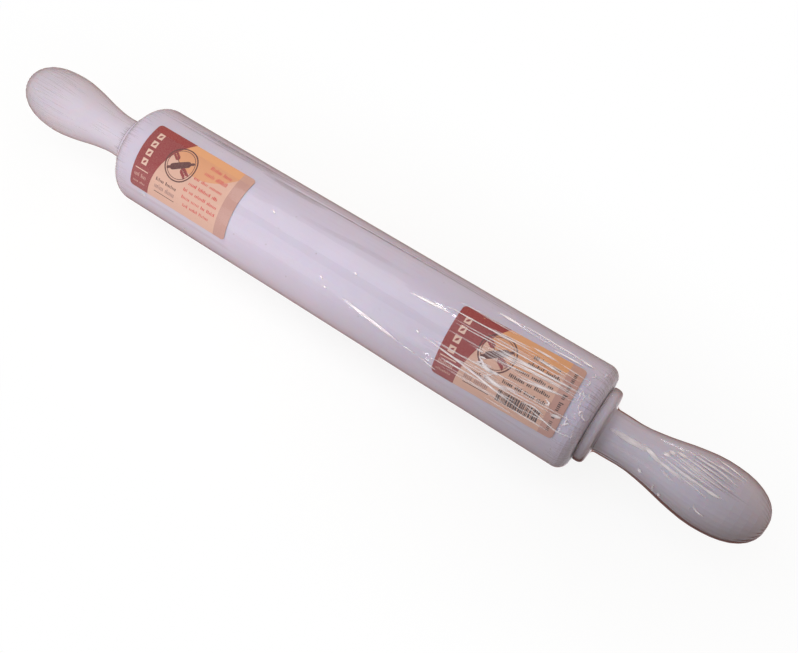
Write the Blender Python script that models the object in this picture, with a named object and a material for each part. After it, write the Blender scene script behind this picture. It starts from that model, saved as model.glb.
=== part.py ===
"""A plastic rolling pin: a thick barrel that spins on two ball bearings round a fixed steel axle.

The pin lies along X with its middle at the origin, and Z is up. The barrel rests on one of its flats at -Z.
Everything at an end of the pin hangs from one empty at the barrel's end face, with its own +X pointing away
from the barrel. The left end is the right one turned half a turn about Z.
"""

import math

import bmesh
import bpy

# Barrel, in metres like every size here
BARREL_LENGTH = 0.308
BARREL_DIAMETER = 0.060
BARREL_EDGE_RADIUS = 0.0066

# Handles: a flange against the barrel, then a neck, a swelling and a blunt nose, one after the other
FLANGE_DIAMETER = 0.0424
FLANGE_THICKNESS = 0.0054
FLANGE_EDGE_RADIUS = 0.0026
FLANGE_CHAMFER = 0.0005
NECK_DIAMETER = 0.0242
NECK_FILLET = 0.0015
NECK_LENGTH = 0.015
BULB_DIAMETER = 0.0374
SWELL_LENGTH = 0.045
NOSE_LENGTH = 0.030
NOSE_BLUNTNESS = 2.35

# Clearances: between pieces that touch, between a ball and its ring, and where pieces turn past others
SEAT_GAP = 0.0003
BALL_GAP = 0.0002
END_GAP = 0.0006
AXLE_CLEARANCE = 0.0008

# Sealed ball bearings
BEARING_BORE = 0.010
RING_WALL = 0.00142
BALL_DIAMETER = 0.00476
BALL_COUNT = 7
LAND_SPACE = 0.0028
RING_CHAMFER = 0.0004
CAGE_THICKNESS = 0.0014
CAGE_WEB = 0.00042
SEAL_THICKNESS = 0.0006
SEAL_INSET = 0.0001
RELIEF_DEPTH = 0.0015
RELIEF_STEP = 0.0002

# Axle ends, the washers that clamp the inner rings, and the hexagonal inserts moulded into the handles
AXLE_SHOULDER = 0.001
THREAD_DIAMETER = 0.008
THREAD_ENGAGEMENT = 0.024
THREAD_CHAMFER = 0.0008
THREAD_ROOM = 0.002
WASHER_THICKNESS = 0.001
INSERT_WALL = 0.0027
INSERT_FLOOR = 0.004
INSERT_GROOVES = 2
INSERT_GROOVE_DEPTH = 0.001
INSERT_GROOVE_WIDTH = 0.004

# Paper labels, wrapped round the barrel: each is a margin from its end of the barrel, and turned by its angle
# from straight up towards -Y; the right one is stuck on slightly askew
LABEL_LENGTH = 0.0706
LABEL_HEIGHT = 0.0405
LABEL_THICKNESS = 0.0002
LABEL_CORNER_RADIUS = 0.0023
LEFT_LABEL_MARGIN = 0.0158
LEFT_LABEL_ANGLE = math.radians(29.1)
LEFT_LABEL_SKEW = 0.0
RIGHT_LABEL_MARGIN = 0.0124
RIGHT_LABEL_ANGLE = math.radians(25.9)
RIGHT_LABEL_SKEW = math.radians(2.8)

# Facets: how many flats stand for each round surface, and how many steps for each curve of an outline
BARREL_FLATS = 64
HANDLE_FLATS = 40
INNER_FLATS = 28
HEXAGON = 6
EDGE_STEPS = 5
FILLET_STEPS = 3
SWELL_STEPS = 8
NOSE_STEPS = 9
GROOVE_STEPS = 6
LABEL_ROWS = 14
LABEL_COLUMNS = 4
LABEL_CORNER_STEPS = 4
BALL_STEPS = 2
SMOOTH_ANGLE = math.radians(35)
MERGE_DISTANCE = 1e-6

# Sizes that follow from the ones above
barrel_radius = BARREL_DIAMETER / 2
barrel_half = BARREL_LENGTH / 2
bore_radius = BEARING_BORE / 2
ball_radius = BALL_DIAMETER / 2
groove_radius = ball_radius + BALL_GAP
pitch_radius = bore_radius + RING_WALL + groove_radius
bearing_radius = pitch_radius + groove_radius + RING_WALL
inner_land = pitch_radius - LAND_SPACE / 2
outer_land = pitch_radius + LAND_SPACE / 2
cage_width = 2 * (groove_radius + CAGE_WEB)
bearing_width = cage_width + 2 * (SEAT_GAP + SEAL_THICKNESS + SEAL_INSET)
bearing_recess = WASHER_THICKNESS + 2 * SEAT_GAP - END_GAP
axle_radius = bore_radius + AXLE_SHOULDER
thread_radius = THREAD_DIAMETER / 2
insert_radius = thread_radius + SEAT_GAP + INSERT_WALL
insert_length = THREAD_ENGAGEMENT + THREAD_ROOM + INSERT_FLOOR
label_reach = barrel_half - LABEL_LENGTH / 2


def arc(x, r, radius, start, end, steps):
    """Points of an arc about (x, r), between two angles in degrees: 0 along +X, 90 away from the axis."""
    turn = [math.radians(start + (end - start) * k / steps) for k in range(steps + 1)]
    return [(x + radius * math.cos(a), r + radius * math.sin(a)) for a in turn]


def mirrored(half):
    """The outline's right half, given from the middle outwards, with its mirror image before it."""
    return [(-x, r) for x, r in reversed(half)] + half


def turned(name, outline, flats, bored):
    """A mesh made by spinning an outline of (x, distance from the X axis) points once round the X axis.

    The flats are tangent to the true surface, and one of them faces -Z. A bored piece has a closed outline. A
    solid one has an outline that starts and ends on the axis.
    """
    bm = bmesh.new()
    half = math.pi / flats
    stretch = 1 / math.cos(half)
    points = [
        bm.verts.new((x, r * stretch * math.sin(half), -r * stretch * math.cos(half))) for x, r in outline
    ]
    edges = [bm.edges.new(pair) for pair in zip(points, points[1:])]
    if bored:
        edges.append(bm.edges.new((points[-1], points[0])))
    bmesh.ops.spin(
        bm,
        geom=points + edges,
        cent=(0, 0, 0),
        axis=(1, 0, 0),
        angle=2 * math.pi,
        steps=flats,
        use_merge=True,
    )
    bmesh.ops.remove_doubles(bm, verts=bm.verts, dist=MERGE_DISTANCE)
    return finished(name, bm)


def finished(name, bm):
    """Turns the faces outwards, shades the round ones smooth and returns the mesh."""
    bmesh.ops.recalc_face_normals(bm, faces=bm.faces)
    mesh = bpy.data.meshes.new(name)
    bm.to_mesh(mesh)
    bm.free()
    mesh.shade_smooth()
    mesh.set_sharp_from_angle(angle=SMOOTH_ANGLE)
    return mesh


def material(name, colour, roughness, metallic=0.0):
    made = bpy.data.materials.new(name)
    made.use_nodes = True
    shader = made.node_tree.nodes["Principled BSDF"]
    shader.inputs["Base Color"].default_value = (*colour, 1)
    shader.inputs["Roughness"].default_value = roughness
    shader.inputs["Metallic"].default_value = metallic
    return made


def place(name, mesh, surface, parent=None, x=0.0, y=0.0, z=0.0):
    """Adds a named object that shows the mesh in its own material, at a place in its parent's frame."""
    thing = bpy.data.objects.new(name, mesh)
    bpy.context.collection.objects.link(thing)
    if not mesh.materials:
        mesh.materials.append(None)
    thing.material_slots[0].link = "OBJECT"
    thing.material_slots[0].material = surface
    thing.parent = parent
    thing.location = (x, y, z)
    return thing


def guide(name, x, turn, parent=None):
    """An empty on the pin's axis, for other pieces to hang from."""
    made = bpy.data.objects.new(name, None)
    bpy.context.collection.objects.link(made)
    made.parent = parent
    made.location = (x, 0, 0)
    made.rotation_euler = (0, 0, turn)
    return made


def cut(target, name, mesh, parent, x=0.0):
    """Takes the mesh's shape out of the target with a Boolean modifier."""
    cutter = bpy.data.objects.new(name, mesh)
    bpy.context.collection.objects.link(cutter)
    cutter.parent = parent
    cutter.location = (x, 0, 0)
    cutter.hide_render = True
    cutter.display_type = "WIRE"
    modifier = target.modifiers.new(name, "BOOLEAN")
    modifier.operation = "DIFFERENCE"
    modifier.solver = "EXACT"
    modifier.object = cutter


def barrel_outline():
    """The barrel's right half: its bore, the relief and counterbore for the bearing, and the rounded edge."""
    seat_floor = barrel_half - bearing_recess - bearing_width - SEAT_GAP
    bore = axle_radius + AXLE_CLEARANCE
    relief = outer_land + RELIEF_STEP
    counterbore = bearing_radius + SEAT_GAP
    inside = [
        (seat_floor - RELIEF_DEPTH, bore),
        (seat_floor - RELIEF_DEPTH, relief),
        (seat_floor, relief),
        (seat_floor, counterbore),
        (barrel_half, counterbore),
    ]
    rounding = BARREL_EDGE_RADIUS
    return inside + arc(barrel_half - rounding, barrel_radius - rounding, rounding, 0, 90, EDGE_STEPS)


def axle_outline():
    """The axle's right half: the plain shaft, the shoulder and seat for the bearing, and the threaded end."""
    bearing_face = barrel_half - bearing_recess
    shoulder = bearing_face - bearing_width - SEAT_GAP
    seat_radius = bore_radius - SEAT_GAP
    tip = barrel_half + END_GAP + THREAD_ENGAGEMENT
    return [
        (shoulder, axle_radius),
        (shoulder, seat_radius),
        (bearing_face - SEAT_GAP, seat_radius),
        (bearing_face - SEAT_GAP, thread_radius),
        (tip - THREAD_CHAMFER, thread_radius),
        (tip, thread_radius - THREAD_CHAMFER),
        (tip, 0),
    ]


def swell(x):
    """The handle's radius a distance x beyond the flange: neck, smooth swelling, then blunt round nose."""
    neck, bulb = NECK_DIAMETER / 2, BULB_DIAMETER / 2
    past_neck = x - NECK_LENGTH
    if past_neck <= SWELL_LENGTH:
        t = max(0.0, past_neck / SWELL_LENGTH)
        return neck + (bulb - neck) * t * t * (3 - 2 * t)
    t = min(1.0, (past_neck - SWELL_LENGTH) / NOSE_LENGTH)
    return bulb * (1 - t**NOSE_BLUNTNESS) ** (1 / NOSE_BLUNTNESS)


def handle_outline():
    """From the middle of the flange's inner face, out round the flange, along neck and bulb to the tip."""
    flange, neck = FLANGE_DIAMETER / 2, NECK_DIAMETER / 2
    points = [(0, 0), (0, flange - FLANGE_CHAMFER), (FLANGE_CHAMFER, flange)]
    edge = FLANGE_EDGE_RADIUS
    points += arc(FLANGE_THICKNESS - edge, flange - edge, edge, 90, 0, EDGE_STEPS)
    points += arc(FLANGE_THICKNESS + NECK_FILLET, neck + NECK_FILLET, NECK_FILLET, 180, 270, FILLET_STEPS)
    for k in range(SWELL_STEPS):
        x = NECK_LENGTH + SWELL_LENGTH * k / SWELL_STEPS
        points.append((FLANGE_THICKNESS + x, swell(x)))
    for k in range(NOSE_STEPS):
        x = NECK_LENGTH + SWELL_LENGTH + NOSE_LENGTH * math.sin(math.pi / 2 * k / NOSE_STEPS)
        points.append((FLANGE_THICKNESS + x, swell(x)))
    tip = FLANGE_THICKNESS + NECK_LENGTH + SWELL_LENGTH + NOSE_LENGTH
    return points + [(tip, 0)]


def insert_outline(gap):
    """The insert with its retaining grooves, grown by a gap for the cavity that the handle has round it."""
    radius, length = insert_radius + gap, insert_length + gap
    points = [(-gap, 0), (-gap, radius)]
    for k in range(INSERT_GROOVES):
        middle = insert_length * (k + 1) / (INSERT_GROOVES + 1)
        start, end = middle - INSERT_GROOVE_WIDTH / 2 + gap, middle + INSERT_GROOVE_WIDTH / 2 - gap
        floor = radius - INSERT_GROOVE_DEPTH
        points += [(start, radius), (start, floor), (end, floor), (end, radius)]
    return points + [(length, radius), (length, 0)]


def ring_outlines():
    """The bearing's inner and outer ring, each with the groove that the balls run in."""
    half = bearing_width / 2
    reach = math.degrees(math.acos(LAND_SPACE / 2 / groove_radius))
    groove = arc(0, pitch_radius, groove_radius, 270 + reach, 270 - reach, GROOVE_STEPS)
    inner = [(-half, bore_radius), (half, bore_radius), (half, inner_land), *groove, (-half, inner_land)]
    groove = arc(0, pitch_radius, groove_radius, 90 - reach, 90 + reach, GROOVE_STEPS)
    chamfer = RING_CHAMFER
    outer = [(half, outer_land), *groove, (-half, outer_land)]
    outer += [(-half, bearing_radius - chamfer), (chamfer - half, bearing_radius)]
    outer += [(half - chamfer, bearing_radius), (half, bearing_radius - chamfer)]
    return inner, outer


def tube_outline(length, inside, outside):
    """A plain ring centred on its own middle."""
    return [(-length / 2, inside), (length / 2, inside), (length / 2, outside), (-length / 2, outside)]


def ball_places():
    """Where the balls sit round the bearing, as (y, z) pairs."""
    turns = [2 * math.pi * k / BALL_COUNT for k in range(BALL_COUNT)]
    return [(pitch_radius * math.sin(a), pitch_radius * math.cos(a)) for a in turns]


def ball_mesh(name, radius, places):
    """One ball, or the row of them that shapes the cage's pockets."""
    bm = bmesh.new()
    for y, z in places:
        made = bmesh.ops.create_icosphere(bm, subdivisions=BALL_STEPS, radius=radius)
        bmesh.ops.translate(bm, vec=(0, y, z), verts=made["verts"])
    return finished(name, bm)


def label_mesh(name, x, angle, skew):
    """A rounded rectangle cut into strips, given its thickness and then bent round the barrel."""
    bm = bmesh.new()
    wide, high, corner = LABEL_LENGTH / 2, LABEL_HEIGHT / 2, LABEL_CORNER_RADIUS
    outline = []
    for k, (u, v) in enumerate(((1, 1), (-1, 1), (-1, -1), (1, -1))):
        middle_u, middle_v = u * (wide - corner), v * (high - corner)
        outline += arc(middle_u, middle_v, corner, 90 * k, 90 * (k + 1), LABEL_CORNER_STEPS)
    bm.faces.new([bm.verts.new((u, v, 0)) for u, v in outline])
    for axis, size, count in ((1, LABEL_HEIGHT, LABEL_ROWS), (0, LABEL_LENGTH, LABEL_COLUMNS)):
        for k in range(1, count):
            spot, normal = [0, 0, 0], [0, 0, 0]
            spot[axis] = size * (k / count - 0.5)
            normal[axis] = 1
            geom = bm.verts[:] + bm.edges[:] + bm.faces[:]
            bmesh.ops.bisect_plane(bm, geom=geom, dist=MERGE_DISTANCE, plane_co=spot, plane_no=normal)
    grown = bmesh.ops.extrude_face_region(bm, geom=bm.faces[:])
    raised = [item for item in grown["geom"] if isinstance(item, bmesh.types.BMVert)]
    bmesh.ops.translate(bm, vec=(0, 0, LABEL_THICKNESS), verts=raised)
    for vert in bm.verts:
        u, v, height = vert.co
        along = x + u * math.cos(skew) - v * math.sin(skew)
        round_ = angle - (u * math.sin(skew) + v * math.cos(skew)) / barrel_radius
        radius = barrel_radius + SEAT_GAP + height
        vert.co = (along, -radius * math.sin(round_), radius * math.cos(round_))
    return finished(name, bm)


def build():
    for thing in list(bpy.data.objects):
        bpy.data.objects.remove(thing)

    milky = material("milky_polyethylene", (0.74, 0.70, 0.79), 0.38)
    white = material("white_polyethylene", (0.68, 0.64, 0.73), 0.35)
    steel = material("bright_steel", (0.56, 0.57, 0.58), 0.28, 1.0)
    bearing_steel = material("bearing_steel", (0.50, 0.51, 0.53), 0.18, 1.0)
    brass = material("insert_brass", (0.70, 0.52, 0.24), 0.32, 1.0)
    cage_nylon = material("cage_nylon", (0.60, 0.52, 0.38), 0.50)
    seal_rubber = material("seal_rubber", (0.03, 0.03, 0.03), 0.60)
    paper = material("label_paper", (0.72, 0.45, 0.32), 0.45)

    place("barrel", turned("barrel", mirrored(barrel_outline()), BARREL_FLATS, True), milky)
    place("axle", turned("axle", mirrored(axle_outline()), INNER_FLATS, False), steel)

    inner_outline, outer_outline = ring_outlines()
    cage_middle = (pitch_radius - CAGE_THICKNESS / 2, pitch_radius + CAGE_THICKNESS / 2)
    insert_bore = THREAD_ENGAGEMENT + THREAD_ROOM
    seal_edges = (inner_land + SEAT_GAP, outer_land - SEAT_GAP)
    washer_edges = (thread_radius + SEAT_GAP, inner_land - SEAT_GAP)
    meshes = {
        "handle": turned("handle", handle_outline(), HANDLE_FLATS, False),
        "cavity": turned("insert_cavity", insert_outline(SEAT_GAP), HEXAGON, False),
        "insert": turned("insert", insert_outline(0), HEXAGON, False),
        "bore": turned(
            "insert_bore",
            [(-SEAT_GAP, 0), (-SEAT_GAP, washer_edges[0]), (insert_bore, washer_edges[0]), (insert_bore, 0)],
            INNER_FLATS,
            False,
        ),
        "washer": turned("washer", tube_outline(WASHER_THICKNESS, *washer_edges), INNER_FLATS, True),
        "inner_ring": turned("inner_ring", inner_outline, INNER_FLATS, True),
        "outer_ring": turned("outer_ring", outer_outline, INNER_FLATS, True),
        "cage": turned("cage", tube_outline(cage_width, *cage_middle), INNER_FLATS, True),
        "pockets": ball_mesh("cage_pockets", groove_radius, ball_places()),
        "ball": ball_mesh("ball", ball_radius, [(0, 0)]),
        "seal": turned("seal", tube_outline(SEAL_THICKNESS, *seal_edges), INNER_FLATS, True),
    }
    bearing_x = -bearing_recess - bearing_width / 2
    washer_x = END_GAP - SEAT_GAP - WASHER_THICKNESS / 2
    seal_x = bearing_width / 2 - SEAL_INSET - SEAL_THICKNESS / 2

    for side, end_x, turn in (("right", barrel_half, 0.0), ("left", -barrel_half, math.pi)):
        end = guide(f"{side}_end", end_x, turn)
        bearing = guide(f"{side}_bearing_centre", bearing_x, 0, end)

        handle = place(f"{side}_handle", meshes["handle"], white, end, x=END_GAP)
        cut(handle, f"{side}_insert_cavity", meshes["cavity"], end, x=END_GAP)
        insert = place(f"{side}_threaded_insert", meshes["insert"], brass, end, x=END_GAP)
        cut(insert, f"{side}_insert_bore", meshes["bore"], end, x=END_GAP)
        place(f"{side}_clamp_washer", meshes["washer"], steel, end, x=washer_x)

        place(f"{side}_bearing_outer_ring", meshes["outer_ring"], bearing_steel, bearing)
        place(f"{side}_bearing_inner_ring", meshes["inner_ring"], bearing_steel, bearing)
        place(f"{side}_bearing_outboard_seal", meshes["seal"], seal_rubber, bearing, x=seal_x)
        place(f"{side}_bearing_inboard_seal", meshes["seal"], seal_rubber, bearing, x=-seal_x)
        cage = place(f"{side}_ball_cage", meshes["cage"], cage_nylon, bearing)
        cut(cage, f"{side}_cage_pockets", meshes["pockets"], bearing)
        for number, (y, z) in enumerate(ball_places(), start=1):
            place(f"{side}_ball_{number}", meshes["ball"], bearing_steel, cage, y=y, z=z)

    for side, x, angle, skew in (
        ("left", LEFT_LABEL_MARGIN - label_reach, LEFT_LABEL_ANGLE, LEFT_LABEL_SKEW),
        ("right", label_reach - RIGHT_LABEL_MARGIN, RIGHT_LABEL_ANGLE, RIGHT_LABEL_SKEW),
    ):
        place(f"{side}_label", label_mesh(f"{side}_label", x, angle, skew), paper)


build()
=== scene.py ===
"""The looks of a plastic rolling pin in clear shrink film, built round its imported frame."""
import math
import random

import bmesh
import bpy
import numpy as np
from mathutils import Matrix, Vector


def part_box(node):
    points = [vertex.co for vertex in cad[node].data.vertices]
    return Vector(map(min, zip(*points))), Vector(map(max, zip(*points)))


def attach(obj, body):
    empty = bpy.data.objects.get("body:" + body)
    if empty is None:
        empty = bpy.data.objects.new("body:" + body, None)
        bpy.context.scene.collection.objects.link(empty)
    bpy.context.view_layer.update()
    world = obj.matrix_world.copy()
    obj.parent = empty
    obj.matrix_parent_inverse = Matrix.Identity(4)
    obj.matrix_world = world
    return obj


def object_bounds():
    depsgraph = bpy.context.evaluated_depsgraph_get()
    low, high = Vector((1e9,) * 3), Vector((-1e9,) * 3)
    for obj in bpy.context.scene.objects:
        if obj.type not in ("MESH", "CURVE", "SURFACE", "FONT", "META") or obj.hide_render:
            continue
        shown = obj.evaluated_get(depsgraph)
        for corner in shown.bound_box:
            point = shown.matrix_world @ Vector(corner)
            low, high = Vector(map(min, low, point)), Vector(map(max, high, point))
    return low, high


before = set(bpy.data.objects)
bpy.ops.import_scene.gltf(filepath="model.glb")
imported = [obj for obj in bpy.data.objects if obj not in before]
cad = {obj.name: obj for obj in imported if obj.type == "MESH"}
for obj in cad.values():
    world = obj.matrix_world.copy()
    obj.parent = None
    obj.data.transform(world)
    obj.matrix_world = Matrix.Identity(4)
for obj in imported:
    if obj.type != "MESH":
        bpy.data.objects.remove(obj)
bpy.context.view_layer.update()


# The barrel: a length of 60 mm polyethylene bar, sawn, bored and turned, with its end edges rounded over.
# The milky plastic looks soft and slightly cloudy, with a few dark specks. The turning leaves fine rings,
# which only show as a slight unevenness of the gloss.
MM = 0.001
BAR_COLOUR, BAR_CLOUD_COLOUR = "D3CFE0", "CAC7D8"
BAR_CLOUD_SIZE = 22 * MM
SPECK_COLOUR, SPECK_SPACING = "8F8388", 9 * MM
SPECK_CORE, SPECK_RIM, SPECK_DEPTH = 0.035, 0.05, 0.55
# Light goes some way into polyethylene, so that it glows softly
POLYETHYLENE = {"IOR": 1.52, "Subsurface Weight": 0.35, "Subsurface Scale": 5 * MM}
# A turning tool moves some 0.2 mm a turn. The rings are drawn coarser, so that they show.
TURNING_PITCH, TURNING_RELIEF = 0.9 * MM, 0.004 * MM
# A wave texture of scale 1 repeats at this length
WAVE_LENGTH = 0.314


def linear(colour):
    """An sRGB hex colour as the linear red, green, blue and alpha that shaders take."""
    parts = [int(colour[k : k + 2], 16) / 255 for k in (0, 2, 4)]
    return [c / 12.92 if c <= 0.04045 else ((c + 0.055) / 1.055) ** 2.4 for c in parts] + [1.0]


def add(tree, kind, inputs=None, into=None, **settings):
    """Adds a shader node. Each input is a value, or the socket that feeds it. It can feed one itself."""
    made = tree.nodes.new("ShaderNode" + kind)
    for name, value in settings.items():
        setattr(made, name, value)
    for name, value in (inputs or {}).items():
        if isinstance(value, bpy.types.NodeSocket):
            tree.links.new(value, made.inputs[name])
        else:
            made.inputs[name].default_value = value
    if into:
        tree.links.new(next(socket for socket in made.outputs if socket.enabled), into)
    return made


def surface(name, values):
    """A new material, its node tree and its Principled shader, with these values of the shader's inputs."""
    made = bpy.data.materials.new(name)
    made.use_nodes = True
    shader = made.node_tree.nodes["Principled BSDF"]
    for key, value in values.items():
        shader.inputs[key].default_value = value
    return made, made.node_tree, shader


def patchy(tree, shader, size, detail, first, second, spread=None):
    """Gives a shader a colour that wanders between two in patches of this size, and returns its parts. The
    spread says where in the pattern the second colour starts and is fullest, and how full it gets."""
    place = add(tree, "TexCoord").outputs["Object"]
    patch = add(tree, "TexNoise", {"Vector": place, "Scale": 1 / size, "Detail": detail}).outputs["Fac"]
    share = patch
    if spread:
        reach = dict(zip(("From Min", "From Max", "To Max"), spread))
        share = add(tree, "MapRange", {"Value": patch, **reach}).outputs[0]
    mixed = {"Factor": share, "A": linear(first), "B": linear(second)}
    tone = add(tree, "Mix", mixed, into=shader.inputs["Base Color"], data_type="RGBA")
    return place, patch, tone.outputs["Result"]


def dress(names, material):
    """Gives these nodes of the frame a finish, in place of their own materials."""
    for name in names:
        cad[name].data.materials.clear()
        cad[name].data.materials.append(material)


milky, tree, shader = surface("turned_milky_polyethylene", {"Roughness": 0.42, **POLYETHYLENE})
place, _, clouded = patchy(tree, shader, BAR_CLOUD_SIZE, 3.0, BAR_COLOUR, BAR_CLOUD_COLOUR)
spots = add(tree, "TexVoronoi", {"Vector": place, "Scale": 1 / SPECK_SPACING, "Randomness": 1.0})
core = {"Value": spots.outputs["Distance"], "From Min": SPECK_CORE, "From Max": SPECK_RIM}
speck = add(tree, "MapRange", {**core, "To Min": SPECK_DEPTH, "To Max": 0.0})
specked = {"Factor": speck.outputs[0], "A": clouded, "B": linear(SPECK_COLOUR)}
add(tree, "Mix", specked, into=shader.inputs["Base Color"], data_type="RGBA")
wave = {"Vector": place, "Scale": WAVE_LENGTH / TURNING_PITCH, "Distortion": 0.6, "Detail": 2.0}
rings = add(tree, "TexWave", wave, bands_direction="X")
ringed = {"Height": rings.outputs["Fac"], "Distance": TURNING_RELIEF, "Strength": 0.5}
add(tree, "Bump", ringed, into=shader.inputs["Normal"])
dress(["barrel"], milky)


# The handles: each is one injection moulding in white polyethylene over a hexagonal brass insert. The mould
# leaves a satin skin with a fine grain, which mirrors less than a polished one, and a faint parting line
# along both sides of the handle.
MOULDED_COLOUR, MOULDED_CLOUD_COLOUR = "DAD8E6", "D2D0DE"
SATIN = {"Roughness": 0.38, "Specular IOR Level": 0.3}
# The real grain is under 0.1 mm. It is drawn coarser, so that it shows.
MOULD_GRAIN, MOULD_GRAIN_RELIEF = 0.5 * MM, 0.01 * MM
PARTING_LINE_WIDTH, PARTING_LINE_RELIEF = 0.25 * MM, 0.05 * MM

white, tree, shader = surface("moulded_white_polyethylene", {**POLYETHYLENE, **SATIN})
place, _, _ = patchy(tree, shader, BAR_CLOUD_SIZE, 2.0, MOULDED_COLOUR, MOULDED_CLOUD_COLOUR)
parts = add(tree, "SeparateXYZ", {"Vector": place})
offset = add(tree, "Math", {0: parts.outputs["Z"]}, operation="ABSOLUTE")
near_line = {"Value": offset.outputs[0], "From Min": 0.0, "From Max": PARTING_LINE_WIDTH}
parting = add(tree, "MapRange", {**near_line, "To Min": 1.0, "To Max": 0.0})
grain = add(tree, "TexNoise", {"Vector": place, "Scale": 1 / MOULD_GRAIN, "Detail": 1.0})
grainy = add(tree, "Bump", {"Height": grain.outputs["Fac"], "Distance": MOULD_GRAIN_RELIEF, "Strength": 0.3})
line = {"Height": parting.outputs[0], "Distance": PARTING_LINE_RELIEF, "Strength": 0.6}
add(tree, "Bump", {**line, "Normal": grainy.outputs["Normal"]}, into=shader.inputs["Normal"])
dress(["left_handle", "right_handle"], white)


# The axle and the two clamp washers: bright carbon steel, turned to size and left bare. Turned steel is
# grey and mirror-like along the axle, and its fine rings spread a highlight across it.
STEEL_COLOUR, STEEL_STREAK_COLOUR = "C3C5C8", "ABADB1"
STEEL_STREAK_SIZE = 5.556 * MM
STEEL_TURNING_PITCH, STEEL_TURNING_RELIEF = 0.25 * MM, 0.005 * MM

steel, tree, shader = surface("turned_bright_steel", {"Roughness": 0.28, "Metallic": 1.0})
place, _, _ = patchy(tree, shader, STEEL_STREAK_SIZE, 2.0, STEEL_COLOUR, STEEL_STREAK_COLOUR)
wave = {"Vector": place, "Scale": WAVE_LENGTH / STEEL_TURNING_PITCH}
rings = add(tree, "TexWave", wave, bands_direction="X")
ringed = {"Height": rings.outputs["Fac"], "Distance": STEEL_TURNING_RELIEF, "Strength": 0.5}
add(tree, "Bump", ringed, into=shader.inputs["Normal"])
dress(["axle", "left_clamp_washer", "right_clamp_washer"], steel)


# The bearings: rings and balls of hardened chrome steel, ground and polished, so they mirror sharply. They
# turn brownish where grease has dried on them.
BEARING_COLOUR, GREASE_COLOUR = "BDBFC4", "8E8578"
GREASE_SMEAR_SIZE = 4.545 * MM
GREASE_SPREAD = (0.5, 0.8, 0.7)

ground, tree, shader = surface("ground_bearing_steel", {"Roughness": 0.16, "Metallic": 1.0})
patchy(tree, shader, GREASE_SMEAR_SIZE, 4.0, BEARING_COLOUR, GREASE_COLOUR, GREASE_SPREAD)
sides = ("left", "right")
ring_names = [f"{side}_bearing_{part}_ring" for side in sides for part in ("outer", "inner")]
ball_names = [name for name in cad if "_ball_" in name and not name.endswith("cage")]
dress(ring_names + ball_names, ground)


# The ball cages: injection-moulded natural nylon, a waxy ivory plastic that holds the balls apart. It looks
# a little darker in soft patches, where the melt flowed together.
NYLON_COLOUR, NYLON_FLOW_COLOUR = "CDBE9F", "BFAF8E"
NYLON_FLOW_SIZE = 4 * MM

nylon, tree, shader = surface("moulded_natural_nylon", {"Roughness": 0.45, "IOR": 1.53})
patchy(tree, shader, NYLON_FLOW_SIZE, 2.0, NYLON_COLOUR, NYLON_FLOW_COLOUR)
dress(["left_ball_cage", "right_ball_cage"], nylon)


# The bearing seals: black nitrile rubber moulded on a thin steel disc and pressed into the outer ring. The
# rubber is dull and slightly pitted.
RUBBER_COLOUR, RUBBER_WORN_COLOUR = "2C2B2B", "3A3837"
RUBBER_PIT_SIZE, RUBBER_PIT_DEPTH = 0.3 * MM, 0.02 * MM

rubber, tree, shader = surface("moulded_nitrile_rubber", {"Roughness": 0.62, "IOR": 1.52})
_, pits, _ = patchy(tree, shader, RUBBER_PIT_SIZE, 2.0, RUBBER_COLOUR, RUBBER_WORN_COLOUR)
pitted = {"Height": pits, "Distance": RUBBER_PIT_DEPTH, "Strength": 0.6}
add(tree, "Bump", pitted, into=shader.inputs["Normal"])
seal_names = [f"{side}_bearing_{face}_seal" for side in sides for face in ("inboard", "outboard")]
dress(seal_names, rubber)


# The threaded inserts: hexagonal free-cutting brass bar with two retaining grooves, turned and tapped. Brass
# is warm yellow and darkens in blotches where it has been handled.
BRASS_COLOUR, BRASS_TARNISH_COLOUR = "C9A45C", "9C7A40"
BRASS_BLOTCH_SIZE = 7.143 * MM

brass, tree, shader = surface("turned_brass", {"Roughness": 0.3, "Metallic": 1.0})
patchy(tree, shader, BRASS_BLOTCH_SIZE, 3.0, BRASS_COLOUR, BRASS_TARNISH_COLOUR)
dress(["left_threaded_insert", "right_threaded_insert"], brass)


# The labels: two coated-paper stickers on the barrel's upper side, offset printed in a few flat inks that
# look satin. They carry a maroon panel, a peach disc behind a baker's badge, and short bars as small print.
PAPER_COLOUR, PAPER_FIBRE_COLOUR = "DCB8A4", "D6AD98"
PAPER_FIBRE_SIZE, PAPER_FIBRE_RELIEF = 0.8 * MM, 0.01 * MM
PAPER_IOR = 1.5
LABEL_LENGTH, LABEL_HEIGHT, LABEL_CORNER = 70.6 * MM, 40.5 * MM, 2.3 * MM
BARREL_RADIUS, LABEL_FACE_RADIUS = 30 * MM, 30.5 * MM
INK_LAYER = 0.012 * MM
INK_ROW, INK_COLUMN = 1.5 * MM, 9 * MM
INK_MOTTLE = (0.35, 0.8, 0.12)
LETTER_WIDTH, LETTER_PITCH, WORD_GAP, SHORT_LETTER = 0.66, 0.98, 1.2, 0.7
INKS = {
    "peach": "D99E72",
    "strip": "C0968A",
    "maroon": "8F3234",
    "brown": "562A28",
    "red": "D0524E",
    "pale": "DFC2B0",
    "grey": "A58078",
    "black": "3A2C30",
}
PEACH, STRIP, MAROON, BROWN, RED, PALE, GREY, BLACK = range(8)

paper, tree, shader = surface("coated_label_paper", {"Roughness": 0.42, "IOR": PAPER_IOR})
_, fibre, _ = patchy(tree, shader, PAPER_FIBRE_SIZE, 4.0, PAPER_COLOUR, PAPER_FIBRE_COLOUR)
felted = {"Height": fibre, "Distance": PAPER_FIBRE_RELIEF, "Strength": 0.5}
add(tree, "Bump", felted, into=shader.inputs["Normal"])
dress(["left_label", "right_label"], paper)


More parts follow.
